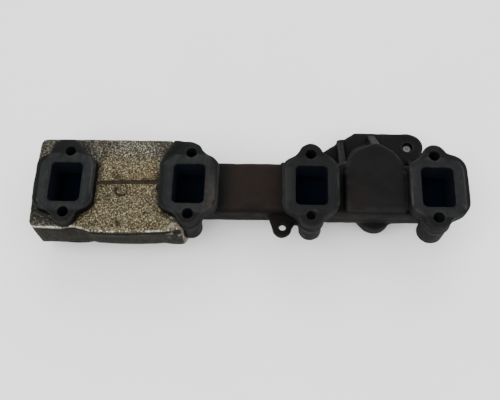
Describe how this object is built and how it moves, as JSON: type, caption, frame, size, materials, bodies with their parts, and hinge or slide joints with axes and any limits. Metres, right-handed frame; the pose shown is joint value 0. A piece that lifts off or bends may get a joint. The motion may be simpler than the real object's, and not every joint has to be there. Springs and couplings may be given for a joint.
{
  "type": "exhaust manifold",
  "caption": "Cast log exhaust manifold with rectangular ports, a domed collector with a triangular outlet flange, and a bolted clamshell heat shield round its closed end.",
  "frame": {"origin": "middle of the head bolt pattern, in the plane of the port faces", "axes": "+Z out of the port faces towards the cylinder head, +X along the row of ports towards the outlet end, +Y towards the upper row of head bolts"},
  "size_m": [0.4112, 0.1289, 0.077],
  "materials": {
    "cast_iron": "dark sooty sand-cast surface with machined joint faces",
    "embossed_foil": "stucco embossed, heat-stained and dented",
    "insulating_felt": "compressed mineral fibre",
    "liner_foil": "smooth thin sheet, heat-tinted",
    "seam_steel": "smooth, browned by heat",
    "fastener_steel": "oxidised",
    "stud_steel": "oxidised, threaded"
  },
  "bodies": {
    "root": {"manifold_casting": "cast_iron", "shield_upper_skin": "embossed_foil", "shield_upper_felt": "insulating_felt", "shield_upper_liner": "liner_foil", "shield_lower_skin": "embossed_foil", "shield_lower_felt": "insulating_felt", "shield_lower_liner": "liner_foil", "shield_seam_strip": "seam_steel", "shield_bolt_upper_left": "fastener_steel", "shield_bolt_upper_right": "fastener_steel", "shield_bolt_lower_left": "fastener_steel", "shield_bolt_lower_right": "fastener_steel", "shield_washer_upper_left": "fastener_steel", "shield_washer_upper_right": "fastener_steel", "shield_washer_lower_left": "fastener_steel", "shield_washer_lower_right": "fastener_steel", "shield_spacer_upper_left": "fastener_steel", "shield_spacer_upper_right": "fastener_steel", "shield_spacer_lower_left": "fastener_steel", "shield_spacer_lower_right": "fastener_steel", "outlet_stud_upper_left": "stud_steel", "outlet_stud_upper_right": "stud_steel", "outlet_stud_lower": "stud_steel"}
  },
  "joints": []
}
